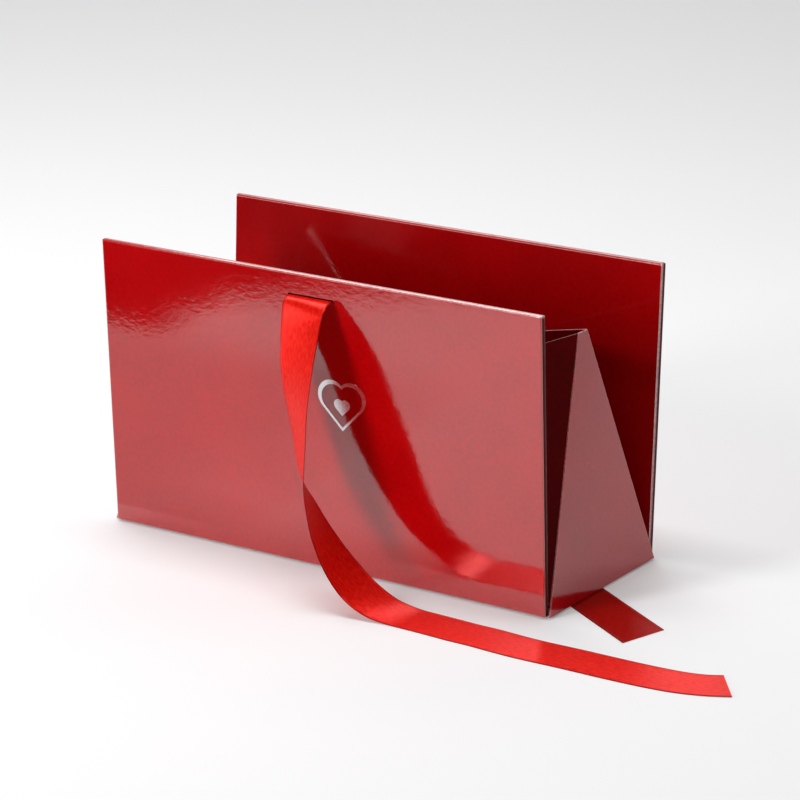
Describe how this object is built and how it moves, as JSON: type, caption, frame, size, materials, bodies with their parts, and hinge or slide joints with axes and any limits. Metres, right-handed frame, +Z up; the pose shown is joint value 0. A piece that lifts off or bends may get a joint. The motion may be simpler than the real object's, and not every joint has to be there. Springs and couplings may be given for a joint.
{
  "type": "gift bag",
  "caption": "Low wide gift bag with two rigid glossy red board walls, folding triangular end gussets and a satin ribbon hanging from each wall.",
  "frame": {"origin": "on the table under the middle of the base, half a millimetre below the base covering because one ribbon runs under the bag", "axes": "+Z up, +X along the width towards the right end, front wall faces -Y"},
  "size_m": [0.3656, 0.1781, 0.1469],
  "materials": {
    "greyboard": "raw greyboard",
    "gloss_paper": "deep red paper under a mirror-glossy film",
    "lining_paper": "glossy deep red paper with a lighter cut edge",
    "gusset_paper": "glossy deep red laminated paper",
    "flap_paper": "glossy deep red folded paper",
    "tab_paper": "plain glued paper",
    "silver_foil": "hot-stamped silver foil",
    "satin_ribbon": "bright red polyester satin"
  },
  "bodies": {
    "base": {"base_board": "greyboard", "base_cover": "gloss_paper", "base_liner": "lining_paper", "right_gusset_base_tab": "tab_paper", "left_gusset_base_tab": "tab_paper", "front_ribbon_floor_run": "satin_ribbon", "back_ribbon_floor_run": "satin_ribbon"},
    "front_board": {"front_board": "greyboard", "front_cover": "gloss_paper", "front_liner": "lining_paper", "front_right_glue_tab": "tab_paper", "front_left_glue_tab": "tab_paper", "front_ribbon_anchor": "satin_ribbon", "front_ribbon": "satin_ribbon", "foil_motif": "silver_foil"},
    "back_board": {"back_board": "greyboard", "back_cover": "gloss_paper", "back_liner": "lining_paper", "back_right_glue_tab": "tab_paper", "back_left_glue_tab": "tab_paper", "back_ribbon_anchor": "satin_ribbon", "back_ribbon": "satin_ribbon"},
    "right_panel": {"right_gusset_panel": "gusset_paper"},
    "left_panel": {"left_gusset_panel": "gusset_paper"},
    "right_front_flap": {"right_front_flap": "flap_paper"},
    "right_back_flap": {"right_back_flap": "flap_paper"},
    "left_front_flap": {"left_front_flap": "flap_paper"},
    "left_back_flap": {"left_back_flap": "flap_paper"}
  },
  "joints": [
    {"name": "front_fold", "type": "hinge", "parent": "base", "child": "front_board", "pos_m": [0, -0.0458, 0.0017], "axis": [1, 0, 0], "range_deg": [-21.3, 5.4]},
    {"name": "back_fold", "type": "hinge", "parent": "base", "child": "back_board", "pos_m": [0, 0.0458, 0.0017], "axis": [1, 0, 0], "range_deg": [-5.4, 21.3]},
    {"name": "right_tilt", "type": "hinge", "parent": "base", "child": "right_panel", "pos_m": [0.1261, 0, 0.0017], "axis": [0, 1, 0], "range_deg": [-1.62, 6.25]},
    {"name": "left_tilt", "type": "hinge", "parent": "base", "child": "left_panel", "pos_m": [-0.1261, 0, 0.0017], "axis": [0, 1, 0], "range_deg": [-6.25, 1.62]},
    {"name": "right_front_fold", "type": "hinge", "parent": "right_panel", "child": "right_front_flap", "pos_m": [0.1261, -0.0458, 0.0017], "axis": [-0.1023, 0.3208, 0.9416], "range_deg": [-32.42, 8.3]},
    {"name": "right_back_fold", "type": "hinge", "parent": "right_panel", "child": "right_back_flap", "pos_m": [0.1261, 0.0458, 0.0017], "axis": [-0.1023, -0.3208, 0.9416], "range_deg": [-8.3, 32.42]},
    {"name": "left_front_fold", "type": "hinge", "parent": "left_panel", "child": "left_front_flap", "pos_m": [-0.1261, -0.0458, 0.0017], "axis": [0.1023, 0.3208, 0.9416], "range_deg": [-8.3, 32.42]},
    {"name": "left_back_fold", "type": "hinge", "parent": "left_panel", "child": "left_back_flap", "pos_m": [-0.1261, 0.0458, 0.0017], "axis": [0.1023, -0.3208, 0.9416], "range_deg": [-32.42, 8.3]}
  ],
  "couplings": [
    {"joint": "back_fold", "follows": "front_fold", "ratio": -1},
    {"joint": "right_tilt", "follows": "front_fold", "ratio": -0.2911},
    {"joint": "left_tilt", "follows": "front_fold", "ratio": 0.2911},
    {"joint": "right_front_fold", "follows": "front_fold", "ratio": 1.5176},
    {"joint": "right_back_fold", "follows": "front_fold", "ratio": -1.5176},
    {"joint": "left_front_fold", "follows": "front_fold", "ratio": -1.5176},
    {"joint": "left_back_fold", "follows": "front_fold", "ratio": 1.5176}
  ]
}
